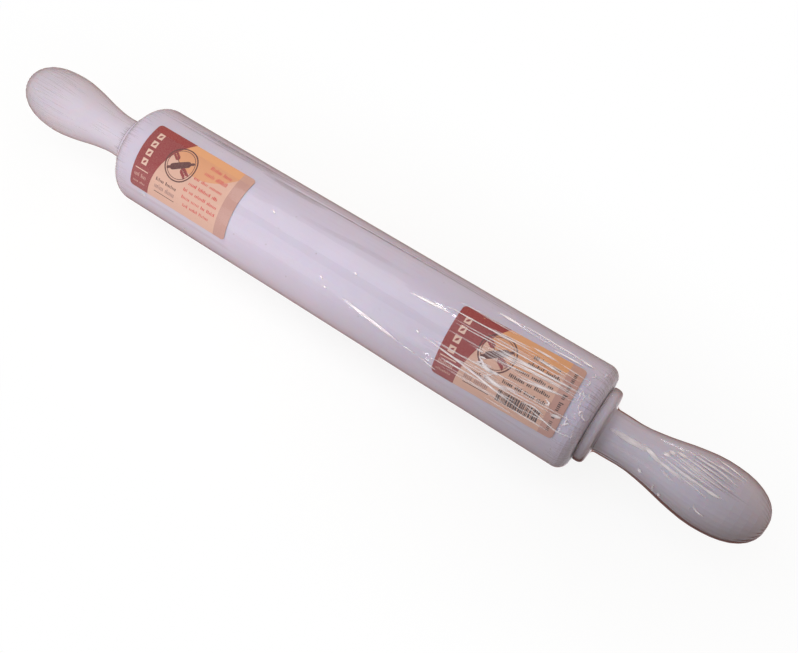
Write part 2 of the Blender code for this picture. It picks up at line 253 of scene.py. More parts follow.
def offset_ink(name, colour):
    """Offset ink on coated paper: flat and even, a little mottled where the paper takes it unevenly."""
    made, tree, shader = surface(f"offset_ink_{name}", {"Roughness": 0.38, "IOR": PAPER_IOR})
    patchy(tree, shader, PAPER_FIBRE_SIZE, 3.0, colour, PAPER_COLOUR, INK_MOTTLE)
    return made


def round_points(u, v, radius, start, end, steps):
    """Points of an arc about (u, v) on the label, between two angles in degrees, in millimetres."""
    turn = [math.radians(start + (end - start) * k / steps) for k in range(steps + 1)]
    return [(u + radius * math.cos(a), v + radius * math.sin(a)) for a in turn]


def oblong(u, v, wide, high):
    """A rectangle about (u, v) on the label, in millimetres."""
    return [(u + i * wide / 2, v + j * high / 2) for i, j in ((1, 1), (-1, 1), (-1, -1), (1, -1))]


def print_ink(bm, outline, ink, layer):
    """Lays one inked shape on the flat label, a thin layer above the last."""
    face = bm.faces.new([bm.verts.new((u * MM, v * MM, layer * INK_LAYER)) for u, v in outline])
    face.material_index = ink


def turned(points, u, v, degrees):
    """The same points, turned about the origin and then moved to (u, v)."""
    c, s = math.cos(math.radians(degrees)), math.sin(math.radians(degrees))
    return [(u + c * x - s * y, v + s * x + c * y) for x, y in points]


def leaf(long, wide):
    """A pointed leaf or grain, from its stalk at the origin to its tip."""
    shares = [k / 6 for k in range(7)]
    under = [(long * s, -wide / 2 * math.sin(math.pi * s)) for s in shares]
    return under + [(x, -y) for x, y in under[-2:0:-1]]


def pen_line(bm, line, wide, ink, layer, closed=False):
    """A line of even width along these points."""
    count, pairs = len(line), []
    for k, (u, v) in enumerate(line):
        before = line[k - 1] if closed or k else line[k]
        after = line[(k + 1) % count] if closed or k < count - 1 else line[k]
        run, climb = after[0] - before[0], after[1] - before[1]
        share = wide / 2 / math.hypot(run, climb)
        sides_of_line = ((u - climb * share, v + run * share), (u + climb * share, v - run * share))
        pairs.append([bm.verts.new((i * MM, j * MM, layer * INK_LAYER)) for i, j in sides_of_line])
    if closed:
        pairs.append(pairs[0])
    for (left, right), (next_left, next_right) in zip(pairs, pairs[1:]):
        bm.faces.new((right, next_right, next_left, left)).material_index = ink


def small_print(bm, draw, first, last, across, high, ink, upright=False):
    """A line of small print, from first to last along the label: words of short bars of uneven height."""
    run = first
    while run < last - 2:
        for _ in range(draw.randint(3, 9)):
            if run > last - LETTER_WIDTH:
                break
            tall = high * draw.choice((SHORT_LETTER, SHORT_LETTER, SHORT_LETTER, 1.0))
            spot = (run, across + (tall - SHORT_LETTER * high) / 2)
            size = (LETTER_WIDTH * draw.uniform(0.6, 1.1), tall)
            if upright:
                spot, size = spot[::-1], size[::-1]
            print_ink(bm, oblong(*spot, *size), ink, 3)
            run += LETTER_PITCH
        run += WORD_GAP


def badge(bm, u, v):
    """A baker's badge: a rolling pin across an ear of wheat, in a double ring."""
    for radius, wide in ((9.8, 0.75), (8.5, 0.35)):
        pen_line(bm, round_points(u, v, radius, 0, 351, 39), wide, BROWN, 3, closed=True)
    pin = round_points(4.6, 0, 1.9, -90, 90, 6) + round_points(-4.6, 0, 1.9, 90, 270, 6)
    print_ink(bm, turned(pin, u, v - 0.6, 33), BROWN, 4)
    for side in (0, 180):
        grip = [(6.3, -0.75)] + round_points(7.6, 0, 0.95, -60, 60, 4) + [(6.3, 0.75)]
        print_ink(bm, turned(turned(grip, 0, 0, side), u, v - 0.6, 33), BROWN, 4)
    stalk = [(-7.6 + k, 0.02 * (k - 7) ** 2 - 0.6) for k in range(15)]
    pen_line(bm, turned(stalk, u, v, -33), 0.4, BROWN, 3)
    for k in range(4):
        for side in (1, -1):
            grain = turned(leaf(3.4, 1.25), 2.2 + 1.3 * k, -0.4, 38 * side)
            print_ink(bm, turned(grain, u, v, -33), MAROON, 3)
            husk = turned(leaf(2.6, 1.0), -3.2 - 1.2 * k, -0.3, 142 * side)
            print_ink(bm, turned(husk, u, v, -33), MAROON, 3)


def placed(name, data):
    """A new object of the scene, with this mesh, light or camera as its data."""
    made = bpy.data.objects.new(name, data)
    bpy.context.collection.objects.link(made)
    return made


def printed_label(name, inks, x, angle, skew, text, number_bars):
    """All the ink of one label, as thin inked shapes bent round the barrel on the paper's face."""
    draw = random.Random(name)
    bm = bmesh.new()
    wide, high, corner = LABEL_LENGTH / 2 / MM, LABEL_HEIGHT / 2 / MM, LABEL_CORNER / MM

    # The maroon panel at the left end, wider at its top, with four pale squares and a ruled line
    panel = round_points(corner - wide, high - corner, corner, 90, 180, 5)
    panel += round_points(corner - wide, corner - high, corner, 180, 270, 5)
    panel += round_points(47.7, -21.9, 69.7, 178.7, 142.7, 20)
    print_ink(bm, panel, MAROON, 2)
    for k in range(4):
        print_ink(bm, oblong(-29.0, 13.2 - 5.6 * k, 3.8, 3.8), PALE, 3)
        print_ink(bm, turned(leaf(3.0, 1.3), -30.1, 12.1 - 5.6 * k, 45), MAROON, 4)
    print_ink(bm, oblong(-28.9, -8.6, 9.4, 0.55), PALE, 3)
    small_print(bm, draw, -33.0, -23.4, -12.4, 2.4, STRIP)
    small_print(bm, draw, -33.0, -23.4, -16.4, 1.4, STRIP)

    # A peach disc that hangs from the top edge, and a darker strip down the right end
    print_ink(bm, round_points(3.5, 33.5, 30.5, 205.8, 334.2, 36), PEACH, 1)
    strip = [(wide - 8, high), (wide - 8, -high)]
    strip += round_points(wide - corner, corner - high, corner, -90, 0, 5)
    strip += round_points(wide - corner, high - corner, corner, 0, 90, 5)
    print_ink(bm, strip, STRIP, 2)

    # The badge, and grey small print over a brown rule under it
    badge(bm, -7.6, 5.4)
    small_print(bm, draw, -17.6, -2.5, -8.6, 1.9, BROWN)
    small_print(bm, draw, -17.6, -2.5, -12.6, 2.8, GREY)
    print_ink(bm, oblong(-10.0, -15.6, 15.0, 0.4), BROWN, 3)

    # Small print at the right, and bars of unlike width on the label that has them
    lines = [(9.5, 12.4, 2.3), (8.5, 8.0, 2.3)]
    lines += [(4.5, 2.8, 1.8), (3.0, -1.4, 1.8), (1.5, -5.6, 1.8), (2.0, -9.8, 1.8), (4.0, -14.0, 1.8)]
    for first, v, size in lines[: 5 if number_bars else 7]:
        small_print(bm, draw, first, wide - 9.2, v, size, text)
    if number_bars:
        u = 1.5
        while u < 24.5:
            bar = draw.choice((0.3, 0.3, 0.6, 0.9))
            print_ink(bm, oblong(u + bar / 2, -13.0, bar, 6.2), BLACK, 3)
            u += bar + draw.choice((0.3, 0.3, 0.6))
        small_print(bm, draw, -16.5, 16.0, wide - 3.9, 2.4, BLACK, upright=True)

    # The flat print is cut into rows and columns, and bent round the barrel
    for axis, reach, step in ((1, high * MM, INK_ROW), (0, wide * MM, INK_COLUMN)):
        count = int(reach // step)
        for k in range(-count, count + 1):
            spot, normal = [0, 0, 0], [0, 0, 0]
            spot[axis], normal[axis] = k * step, 1
            geom = bm.verts[:] + bm.edges[:] + bm.faces[:]
            bmesh.ops.bisect_plane(bm, geom=geom, dist=1e-7, plane_co=spot, plane_no=normal)
    for vert in bm.verts:
        u, v, height = vert.co
        turn = angle - (u * math.sin(skew) + v * math.cos(skew)) / BARREL_RADIUS
        radius = LABEL_FACE_RADIUS + height
        along = x + u * math.cos(skew) - v * math.sin(skew)
        vert.co = (along, -radius * math.sin(turn), radius * math.cos(turn))
    mesh = bpy.data.meshes.new(name)
    bm.normal_update()
    bm.to_mesh(mesh)
    bm.free()
    for ink in inks:
        mesh.materials.append(ink)
    mesh.shade_smooth()
    piece = placed(name, mesh)
    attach(piece, "barrel")


inks = [offset_ink(name, colour) for name, colour in INKS.items()]
label_place = {}
for side, angle, skew in (("left", 29.1, 0.0), ("right", 25.9, 2.8)):
    low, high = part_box(f"{side}_label")
    label_place[side] = (low.x + high.x) / 2, math.radians(angle), math.radians(skew)
printed_label("left_label_print", inks, *label_place["left"], RED, False)
printed_label("right_label_print", inks, *label_place["right"], BLACK, True)


# The wrapping: clear polyolefin shrink film, 19 micrometres thick, shrunk tight with hot air. What shows of
# it is glints along its creases. A brown edge where it is seen at a slant is painted shade; on the right
# handle the painted edge shade is wider, and darker and sharper along the lower front.
FILM_COLOUR, FILM_BODY_COLOUR, FILM_PAINTED_EDGE_SHADE_COLOUR = "F6F3F8", "FDFBFD", "8A3A18"
FILM_ROUGHNESS = 0.07
FILM_MIRROR, FILM_EDGE_MIRROR = 0.05, 0.06
FILM_STEEPNESS, WIDER_EDGE_SHADE_STEEPNESS = 4.0, 2.8
# Strain marks, stretched along the pin. They are drawn coarser than real, so that they show.
FILM_STRAIN_SIZE, FILM_STRAIN_RELIEF = 2.381 * MM, 0.12 * MM
FILM_STRAIN_STRETCH = (0.045, 1.0, 1.0)
# The painted shade along the lower front edge: where it starts and is full, by slant and by facing
LOWER_SHADE_START, LOWER_SHADE_FULL = 0.54, 0.7
LOWER_SHADE_TOP, LOWER_SHADE_FRONT = -0.1, -0.7
ENDWISE_START, ENDWISE_FULL = 0.6, 0.95
FILM_BRIDGE_MIDDLE, FILM_BRIDGE_REACH = 157 * MM, 7 * MM
FILM_GAP, BARREL_EDGE_RADIUS = 0.2 * MM, 6.6 * MM
LABEL_LIFT, LABEL_MARGIN = 0.42 * MM, 2.6 * MM
FILM_COLUMNS, FILM_ROW = 600, 2.2 * MM
FILM_EDGE_STEPS = 14
CREASES_END, BARREL_FLUTE_RISE = 152, 0.1 * MM


def shrink_film(name, steepness, lower_shade=0.0):
    """Clear film: seen through face on, faintly mirroring, with painted shade in brown where it is seen at a
    slant.
    """
    shiny = {"Roughness": FILM_ROUGHNESS, "Metallic": 1.0, "Base Color": linear(FILM_COLOUR)}
    made, tree, shader = surface(name, shiny)
    spot = add(tree, "TexCoord")
    place = spot.outputs["Object"]
    drawn = add(tree, "Mapping", {"Vector": place, "Scale": FILM_STRAIN_STRETCH})
    marks = {"Vector": drawn.outputs[0], "Scale": 1 / FILM_STRAIN_SIZE, "Detail": 2.0}
    strain = add(tree, "TexNoise", marks).outputs["Fac"]
    relief = {"Height": strain, "Distance": FILM_STRAIN_RELIEF, "Strength": 0.35}
    strained = add(tree, "Bump", relief, into=shader.inputs["Normal"])
    tilt = add(tree, "LayerWeight", {"Blend": 0.5, "Normal": strained.outputs["Normal"]})
    steep = add(tree, "Math", {0: tilt.outputs["Facing"], 1: steepness}, operation="POWER")

    # From the barrel's end to the neck the film spans the corners, with no painted brown edge shade on its
    # end faces
    lengthwise = add(tree, "SeparateXYZ", {"Vector": place})
    outwards = add(tree, "Math", {0: lengthwise.outputs["X"]}, operation="ABSOLUTE")
    reach = {0: outwards.outputs[0], 1: FILM_BRIDGE_MIDDLE, 2: FILM_BRIDGE_REACH}
    bridge = add(tree, "Math", reach, operation="COMPARE")
    off_bridge = add(tree, "Math", {0: 1.0, 1: bridge.outputs[0]}, operation="SUBTRACT")
    faced = add(tree, "SeparateXYZ", {"Vector": spot.outputs["Normal"]})
    endwise = add(tree, "Math", {0: faced.outputs["X"]}, operation="ABSOLUTE")
    turned_away = {"Value": endwise.outputs[0], "From Min": ENDWISE_START, "From Max": ENDWISE_FULL}
    kept = add(tree, "MapRange", {**turned_away, "To Min": 1.0, "To Max": 0.0})
    tinted = add(tree, "Math", {0: kept.outputs[0], 1: off_bridge.outputs[0]}, operation="MAXIMUM")
    edge_shade = add(tree, "Math", {0: steep.outputs[0], 1: tinted.outputs[0]}, operation="MULTIPLY")

    # Painted shade: where the film faces the front, its edge is drawn darker and sharper
    front = {"Value": faced.outputs["Y"], "From Min": LOWER_SHADE_FRONT, "From Max": LOWER_SHADE_TOP}
    below = add(tree, "MapRange", {**front, "To Min": lower_shade, "To Max": 0.0})
    sharp = {"Value": tilt.outputs["Facing"], "From Min": LOWER_SHADE_START, "From Max": LOWER_SHADE_FULL}
    edge_on = add(tree, "MapRange", sharp)
    painted_lower_shade = add(tree, "Math", {0: below.outputs[0], 1: edge_on.outputs[0]}, operation="MULTIPLY")
    slant = add(tree, "Math", {0: edge_shade.outputs[0], 1: painted_lower_shade.outputs[0]}, operation="MAXIMUM")

    tint = {"Factor": slant.outputs[0], "A": linear(FILM_BODY_COLOUR), "B": linear(FILM_PAINTED_EDGE_SHADE_COLOUR)}
    body = add(tree, "Mix", tint, data_type="RGBA")
    clear = add(tree, "BsdfTransparent", {"Color": body.outputs["Result"]})
    mirrored = {"Value": slant.outputs[0], "To Min": FILM_MIRROR, "To Max": FILM_EDGE_MIRROR}
    both_faces = add(tree, "MapRange", mirrored)
    thin = {0: both_faces.outputs[0], 1: clear.outputs[0], 2: shader.outputs[0]}
    add(tree, "MixShader", thin, into=tree.nodes["Material Output"].inputs["Surface"])
    return made


film = shrink_film("clear_polyolefin_shrink_film", FILM_STEEPNESS)
# The right handle's film, with a wider painted edge shade and painted shade along its lower front
film_with_more_painted_shade = shrink_film("polyolefin_shrink_film_more_painted_shade", WIDER_EDGE_SHADE_STEEPNESS, lower_shade=1.0)


def crease(along, turn, radius, start, end, width, rise):
    """How far one crease lifts the film: a rounded ridge that fades in and out along its length."""
    (first, first_turn), (last, last_turn) = start, end
    share = np.clip((along - first) / (last - first), 0, 1)
    line = np.radians(first_turn + (last_turn - first_turn) * share)
    off = ((turn - line + math.pi) % (2 * math.pi) - math.pi) * radius
    return rise * np.sin(math.pi * share) ** 0.6 * np.exp(-((off / width) ** 2))


def film_mesh(name, corners, quads, finish, body):
    """A piece of film that moves with this body. Gives its mesh."""
    mesh = bpy.data.meshes.new(name)
    mesh.from_pydata(corners, [], quads)
    mesh.shade_smooth()
    mesh.materials.append(finish)
    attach(placed(name, mesh), body)
    return mesh


def wrapped(name, outline, columns, lift, finish, body):
    """Film round the pin: an outline of (x, radius) points, lifted along its normals by its creases."""
    points = np.array(outline)
    steps = np.gradient(points, axis=0)
    normal = np.stack([-steps[:, 1], steps[:, 0]], axis=1)
    normal /= np.linalg.norm(normal, axis=1)[:, None]
    turn = np.linspace(0, 2 * math.pi, columns, endpoint=False)[None, :]
    along, radius = points[:, :1] + 0 * turn, points[:, 1:] + 0 * turn
    height = lift(along, turn + 0 * along, radius)
    x, r = along + height * normal[:, :1], radius + height * normal[:, 1:]
    corners = np.stack([x, -r * np.sin(turn), r * np.cos(turn)], axis=2).reshape(-1, 3)
    row, column = np.meshgrid(np.arange(len(points) - 1), np.arange(columns), indexing="ij")
    here, beside = row * columns + column, row * columns + (column + 1) % columns
    quads = np.stack([here, here + columns, beside + columns, beside], axis=2).reshape(-1, 4)
    film_mesh(name, corners.tolist(), quads.tolist(), finish, body)


barrel_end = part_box("barrel")[1].x
edge = BARREL_EDGE_RADIUS + FILM_GAP
edge_x, edge_r = barrel_end - BARREL_EDGE_RADIUS, BARREL_RADIUS - BARREL_EDGE_RADIUS
round_end = []
for k in range(2, FILM_EDGE_STEPS + 1):
    a = math.pi / 2 * k / FILM_EDGE_STEPS
    round_end.append((edge_x + edge * math.cos(a), edge_r + edge * math.sin(a)))
rows = int(2 * edge_x / FILM_ROW)
middle = [(2 * edge_x * k / rows - edge_x, edge_r + edge) for k in range(1, rows)]
barrel_outline = [(-x, r) for x, r in round_end] + middle + round_end[::-1]


def over_labels(along, turn):
    """How far the film stands off the barrel at the labels: their own thickness, and a slope round each."""
    height = np.zeros_like(along)
    for x, angle, skew in label_place.values():
        u, v = along - x, (angle - turn) * BARREL_RADIUS
        beyond = np.maximum(
            abs(u * math.cos(skew) + v * math.sin(skew)) - LABEL_LENGTH / 2,
            abs(v * math.cos(skew) - u * math.sin(skew)) - LABEL_HEIGHT / 2,
        )
        height = np.maximum(height, LABEL_LIFT * np.clip(2 - beyond / LABEL_MARGIN, 0, 1))
    return height


def barrel_creases(along, turn, radius):
    """The barrel's film: a few long creases, a crowd of short ones over the right label, faint ones all
    over, and flutes where the film is gathered over each end."""
    draw = random.Random(11)
    height = over_labels(along, turn)
    long_creases = (
        ((8, 53), (54, 58), 1.5, 0.32),
        ((50, 61), (76, 61), 0.9, 0.2),
        ((58, 44), (102, 42), 0.8, 0.2),
        ((38, 8), (56, 5), 1.0, 0.22),
        ((82, -26), (136, -24), 1.2, 0.3),
        ((90, -22), (128, -21), 0.9, 0.22),
        ((-110, -31), (62, -37), 0.6, 0.22),
        ((-60, 2), (70, 1), 2.4, 0.12),
    )
    for start, end, width, rise in long_creases:
        start, end = (start[0] * MM, start[1]), (end[0] * MM, end[1])
        height += crease(along, turn, radius, start, end, width * MM, rise * MM)
    for k in range(46):
        first = draw.uniform(62, 118)
        last = first + draw.uniform(16, 52)
        angle = draw.uniform(-12, 74)
        slant = draw.gauss(0, 2) if k % 5 else draw.choice((-1, 1)) * draw.uniform(8, 16)
        start, end = (first * MM, angle), (min(last, CREASES_END) * MM, angle + slant)
        width, rise = draw.uniform(0.45, 0.9), draw.uniform(0.05, 0.16)
        height += crease(along, turn, radius, start, end, width * MM, rise * MM)
    for _ in range(60):
        first, angle = draw.uniform(-150, 90), draw.uniform(-180, 180)
        start, end = (first * MM, angle), ((first + draw.uniform(30, 90)) * MM, angle + draw.gauss(0, 1.5))
        width, rise = draw.uniform(0.8, 2.0), draw.uniform(0.02, 0.07)
        height += crease(along, turn, radius, start, end, width * MM, rise * MM)
    for side, count in ((1, 74), (-1, 90)):
        gather = np.clip((side * along - edge_x + 9 * MM) / (15 * MM), 0, 1) ** 2
        flutes = np.sin(count * turn + 2.2 * np.sin(5 * turn) + 1.4 * np.sin(11 * turn + side))
        height += BARREL_FLUTE_RISE * gather * flutes
    return height


wrapped("barrel_film", barrel_outline, FILM_COLUMNS, barrel_creases, film, "barrel")


# The film on the handles: the same sleeve, shrunk over each flange, neck and bulb. It bridges the sharp
# corner where the flange meets the neck, and ends in a small round opening at each tip.
HANDLE_GAP, HANDLE_FLUTE_RISE = 0.2 * MM, 0.12 * MM
HANDLE_COLUMNS, HANDLE_ROW = 320, 0.9 * MM
FLANGE_FACE = 160 * MM
NECK_BRIDGE = 3.0 * MM
NECK_SAG = ((160.9 * MM, 13.3 * MM), (162.1 * MM, 12.5 * MM))


def outer_rings(node):
    """A handle's outline, from its flange to its tip, as (x, radius) points of its outward faces."""
    side = 1 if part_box(node)[1].x > 0 else -1
    rings = set(NECK_SAG)
    for vert in cad[node].data.vertices:
        x, r = vert.co.x * side, math.hypot(vert.co.y, vert.co.z)
        outward = vert.normal.y * vert.co.y + vert.normal.z * vert.co.z > 0.3 * r
        if outward and not FLANGE_FACE <= x < FLANGE_FACE + NECK_BRIDGE:
            rings.add((round(x, 4), round(r, 4)))
    return sorted(rings)


def rounded(points, passes):
    """The same line with its corners rounded off, by cutting each at a quarter of its two sides."""
    for _ in range(passes):
        cut = [points[0]]
        for (x0, r0), (x1, r1) in zip(points, points[1:]):
            for share in (0.25, 0.75):
                cut.append(((1 - share) * x0 + share * x1, (1 - share) * r0 + share * r1))
        points = cut + [points[-1]]
    return points


def spaced(points, step):
    """Points a step apart along the line."""
    points = np.array(points)
    run = np.concatenate([[0], np.cumsum(np.linalg.norm(np.diff(points, axis=0), axis=1))])
    at = np.linspace(0, run[-1], int(run[-1] / step) + 1)
    return np.stack([np.interp(at, run, points[:, 0]), np.interp(at, run, points[:, 1])], axis=1)


def handle_creases(side, fans, flutes):
    """One handle's film: a fan of creases along the bulb, and flutes where it grips the neck and the tip."""

    def lift(along, turn, radius):
        draw = random.Random(23 + side)
        out = along * side
        height = np.full_like(along, HANDLE_GAP)
        for _ in range(fans):
            first, angle = draw.uniform(166, 214), draw.uniform(-180, 180)
            last, last_angle = first + draw.uniform(18, 34), angle + draw.gauss(0, 3)
            start, end = (first * MM, angle), (last * MM, last_angle)
            rise = draw.uniform(0.03, 0.08) * flutes * MM
            height += crease(out, turn, radius, start, end, draw.uniform(0.5, 1.1) * MM, rise)
        neck = np.clip(1 - abs(out - 170 * MM) / (11 * MM), 0, 1)
        tip = np.clip((out - 236 * MM) / (13 * MM), 0, 1)
        height += HANDLE_FLUTE_RISE * flutes * neck * np.sin(23 * turn + 1.7 * np.sin(4 * turn))
        height += HANDLE_FLUTE_RISE * tip * np.sin(31 * turn + 1.9 * np.sin(3 * turn))
        return height

    return lift


handle_film = {}
for name, side, fans, flutes, finish in (("left", -1, 26, 0.5, film), ("right", 1, 60, 1.0, film_with_more_painted_shade)):
    outline = spaced(rounded(spaced(outer_rings(f"{name}_handle"), 0.8 * MM), 2), HANDLE_ROW)
    if side < 0:
        outline = (outline * (-1, 1))[::-1]
    handle_film[name] = outline
    creases = handle_creases(side, fans, flutes)
    wrapped(f"{name}_handle_film", outline, HANDLE_COLUMNS, creases, finish, "handles_and_axle")


# The folds of the film: where it shrank unevenly it is gathered into narrow folds of several layers. White
# lines along them are painted highlights, and fine dark lines along folds and seams are painted shade.
FOLD_RISE, FOLD_SEAT = 0.14 * MM, 0.12 * MM
FOLD_STEP = 0.7 * MM
# Across a fold: how far from its middle, how high, and how dense, each as a share
FOLD_PROFILE = np.array(
    [(-1.0, 0.0, 0.0), (-0.6, 0.55, 0.9), (0.0, 1.0, 1.0), (0.6, 0.55, 0.9), (1.0, 0.0, 0.0)]
)
FOLD_SPOT, FOLD_SPOT_STRETCH = 2.4 * MM, (0.35, 1.0, 1.0)
FILM_END, FLANGE_RING = 154.3, 154.75
# The colours of the painted highlights and of the painted shade lines
PAINTED_HIGHLIGHT_COLOUR, PAINTED_SHADE_LINE_COLOUR = "FFF8FB", "6A4A3A"


def gathered_film_painted_light(name, colour, roughness, mirror):
    """Film in several layers, coloured as painted highlight or painted shade: translucent, as dense as the
    fold says, and uneven along it.
    """
    cloudy = {"Roughness": roughness, "IOR": 1.5, "Metallic": mirror, "Base Color": linear(colour)}
    made, tree, shader = surface(name, cloudy)
    share = add(tree, "Attribute", attribute_name="painted_fold_density")
    place = add(tree, "TexCoord").outputs["Object"]
    drawn = add(tree, "Mapping", {"Vector": place, "Scale": FOLD_SPOT_STRETCH})
    patch = add(tree, "TexNoise", {"Vector": drawn.outputs[0], "Scale": 1 / FOLD_SPOT, "Detail": 2.0})
    spread = {"Value": patch.outputs["Fac"], "From Min": 0.35, "From Max": 0.6}
    uneven = add(tree, "MapRange", {**spread, "To Min": 0.7, "To Max": 1.0})
    dense = add(tree, "Math", {0: share.outputs["Fac"], 1: uneven.outputs[0]}, operation="MULTIPLY")
    clear = add(tree, "BsdfTransparent")
    mixed = {0: dense.outputs[0], 1: clear.outputs[0], 2: shader.outputs[0]}
    add(tree, "MixShader", mixed, into=tree.nodes["Material Output"].inputs["Surface"])
    return made


def folded(name, folds, outline, rest, finish, body):
    """Folds on a sheet of film. Each is half its width, its density, and its route in x and degrees."""
    points = np.array(sorted(map(tuple, outline)))
    corners, quads, shares = [], [], []
    for half, density, *route in folds:
        middle = np.interp(route[0][0] * MM, points[:, 0], points[:, 1])
        line = spaced(rounded([(x * MM, math.radians(a) * middle) for x, a in route], 3), FOLD_STEP)
        along, turn = line[:, :1], line[:, 1:] / middle
        course = np.gradient(line, axis=0)
        course /= np.linalg.norm(course, axis=1)[:, None]
        share = np.linspace(0, 1, len(line))[:, None]
        fade = np.sin(math.pi * np.clip(share, 0.02, 0.98)) ** 0.6
        off = FOLD_PROFILE[:, 0] * half * MM * (0.35 + 0.65 * fade)
        x, a = along - course[:, 1:] * off, turn + course[:, :1] * off / middle
        base = np.interp(x, points[:, 0], points[:, 1])
        r = base + rest(x, a) + FOLD_SEAT + FOLD_PROFILE[:, 1] * FOLD_RISE * fade
        start, columns = len(corners), len(FOLD_PROFILE)
        corners += np.stack([x, -r * np.sin(a), r * np.cos(a)], axis=2).reshape(-1, 3).tolist()
        shares += (density * fade * FOLD_PROFILE[:, 2]).reshape(-1).tolist()
        for i in range(len(line) - 1):
            for j in range(columns - 1):
                first = start + i * columns + j
                quads.append((first, first + 1, first + columns + 1, first + columns))
    mesh = film_mesh(name, corners, quads, finish, body)
    mesh.attributes.new("painted_fold_density", "FLOAT", "POINT").data.foreach_set("value", shares)


# The painted highlights on the barrel: three broad ones on its middle, and a tangle of thin ones over the
# right label
painted_highlight_folds = [
    (1.0, 1.0, (43, 9), (55, 7.5), (67, 6)),
    (1.2, 1.0, (12, 50), (25, 53), (38, 56), (50, 59)),
    (1.3, 1.0, (27, 53.5), (37, 56), (47, 58)),
    (0.45, 0.75, (53, 60), (61, 60.5)),
    (0.5, 0.81, (63, 61), (75, 63.5)),
    (0.47, 0.94, (60, 2), (82, 0.5), (105, -2), (122, -3.5)),
    (0.67, 1.0, (60, 39.5), (72, 40.5), (85, 42.5), (95, 44.5), (106, 48), (124, 51)),
    (1.34, 1.0, (86, -24), (93, -24.4), (101, -23.5)),
    (0.84, 0.75, (97, -26.5), (112, -27), (126, -26.5), (142, -26)),
    (0.56, 0.62, (96, -22), (110, -21.5), (125, -21.5)),
    (1.01, 1.0, (135, -25), (142, -24.5)),
    (0.73, 1.0, (120, -17), (128, -18), (138, -19)),
    (0.73, 1.0, (111, -7), (118, -7.4), (126, -7.5)),
    (0.39, 0.62, (125, -7), (144, -6)),
    (0.43, 0.81, (70, 9), (82, 9), (100, 7), (115, 6), (144, 4.5)),
    (0.62, 1.0, (115, 1), (124, 1.2), (133, 1.5)),
    (0.56, 1.0, (97, 15), (105, 12), (120, 10.5), (143, 9)),
    (0.47, 0.94, (90, 16.5), (105, 16), (125, 13), (145, 12)),
    (0.43, 0.75, (97, 22), (108, 21), (118, 18)),
    (0.43, 0.81, (112, 24), (125, 22), (137, 19)),
    (0.62, 1.0, (98, 42), (106, 42), (113, 41.5)),
    (0.47, 0.88, (121, 44), (127, 41), (134, 44)),
    (0.5, 0.88, (121, 44), (130, 46), (136, 48.5), (143, 51), (152, 48)),
    (0.95, 1.0, (136, 39.5), (142, 37)),
    (0.56, 1.0, (91, 28), (95, 31), (98, 35.5)),
    (0.56, 1.0, (95, 36), (98, 33), (102, 35)),
    (0.39, 0.62, (94, 31), (101, 30.5)),
    (0.45, 0.75, (97, 42), (100, 39), (103, 33)),
    (1.3, 1.0, (94, 31), (97, 33.5), (101.5, 35)),
    (0.9, 0.9, (101, 33.6), (104.5, 33.6)),
    (0.6, 0.9, (88, 23.2), (92.5, 22.5)),
    (0.6, 0.8, (91, 27.8), (95.5, 26.4)),
    (0.6, 0.9, (91.5, 33.8), (95, 30)),
    (0.6, 0.9, (91, 16.6), (98, 15.2), (106, 14.4), (114, 12.2), (128, 9.5), (147, 8)),
    (0.5, 0.8, (92, 18), (106, 17.8), (115, 15.6), (135, 13.6), (147, 15)),
    (0.6, 0.9, (112, 26.4), (119, 25), (128, 22), (136, 19.3)),
    (0.8, 0.9, (96, 42), (100.5, 40.8), (106, 42), (112, 42)),
    (0.7, 0.8, (108, 40), (113, 39), (118, 37.8)),
    (0.6, 1.0, (130.3, 29.3), (134.3, 32), (131, 34.3)),
    (0.55, 1.0, (149, 21.4), (147.3, 24.3), (149.2, 27.2)),
    (0.6, 0.9, (143.7, 42), (146.5, 37)),
]
draw = random.Random(5)
for _ in range(40):
    first, angle = draw.uniform(66, 120), draw.uniform(-12, 60)
    last = min(first + draw.uniform(12, 45), 150)
    route = ((first, angle), (last, angle - draw.uniform(-0.5, 3.5)))
    painted_highlight_folds.append((draw.uniform(0.28, 0.5), draw.uniform(0.3, 0.8), *route))
for _ in range(16):
    x, angle = draw.uniform(141, 150), draw.uniform(-30, 46)
    bend = (x + draw.uniform(-1, 2), angle + 3)
    route = ((x, angle), bend, (x + draw.uniform(-1, 3), angle + draw.uniform(4, 8)))
    painted_highlight_folds.append((draw.uniform(0.3, 0.5), draw.uniform(0.45, 0.9), *route))
for x, angle in ((-128, 72), (-98, 87), (-48, 10), (11, 21), (-5, 42), (-1, 49), (56, 37.5)):
    painted_highlight_folds.append((0.7, 1.0, (x, angle), (x + 2.5, angle + 1.5)))

# Painted shade on the barrel: long dark lines and soft dark bands along its rear side, and fine dark lines
# round both ends where the film is folded
painted_shade_folds = [
    (0.75, 0.4, (-62, -27), (-22, -30), (5, -32), (30, -33.3), (92, -34)),
    (0.6, 0.2, (-148, -27), (-110, -27.5), (-70, -28.5)),
    (0.6, 0.22, (-150, -31), (-100, -35), (-40, -40)),
    (0.7, 0.22, (-140, -36), (-90, -37.5), (-30, -41)),
    (2.2, 0.16, (-70, -26.5), (-50, -25.5), (-25, -26)),
    (3.2, 0.16, (-120, -35), (-90, -33), (-50, -33.5)),
    (1.7, 0.06, (-34, -1), (-14, -2), (5, -5.5), (40, -6.5)),
    (0.5, 0.2, (20, -36.5), (60, -37.5), (100, -38)),
]
for side in (1, -1):
    for k in range(62):
        angle, reach = -58 + 2.7 * k + draw.uniform(-1.3, 1.3), draw.uniform(5, 14)
        density = draw.uniform(0.1, 0.3) if side > 0 and angle < 20 else draw.uniform(0.03, 0.12)
        route = ((side * (FILM_END - reach), angle), (side * FILM_END, angle + draw.uniform(-1.5, 1.5)))
        painted_shade_folds.append((draw.uniform(0.25, 0.4), density, *route[::side]))

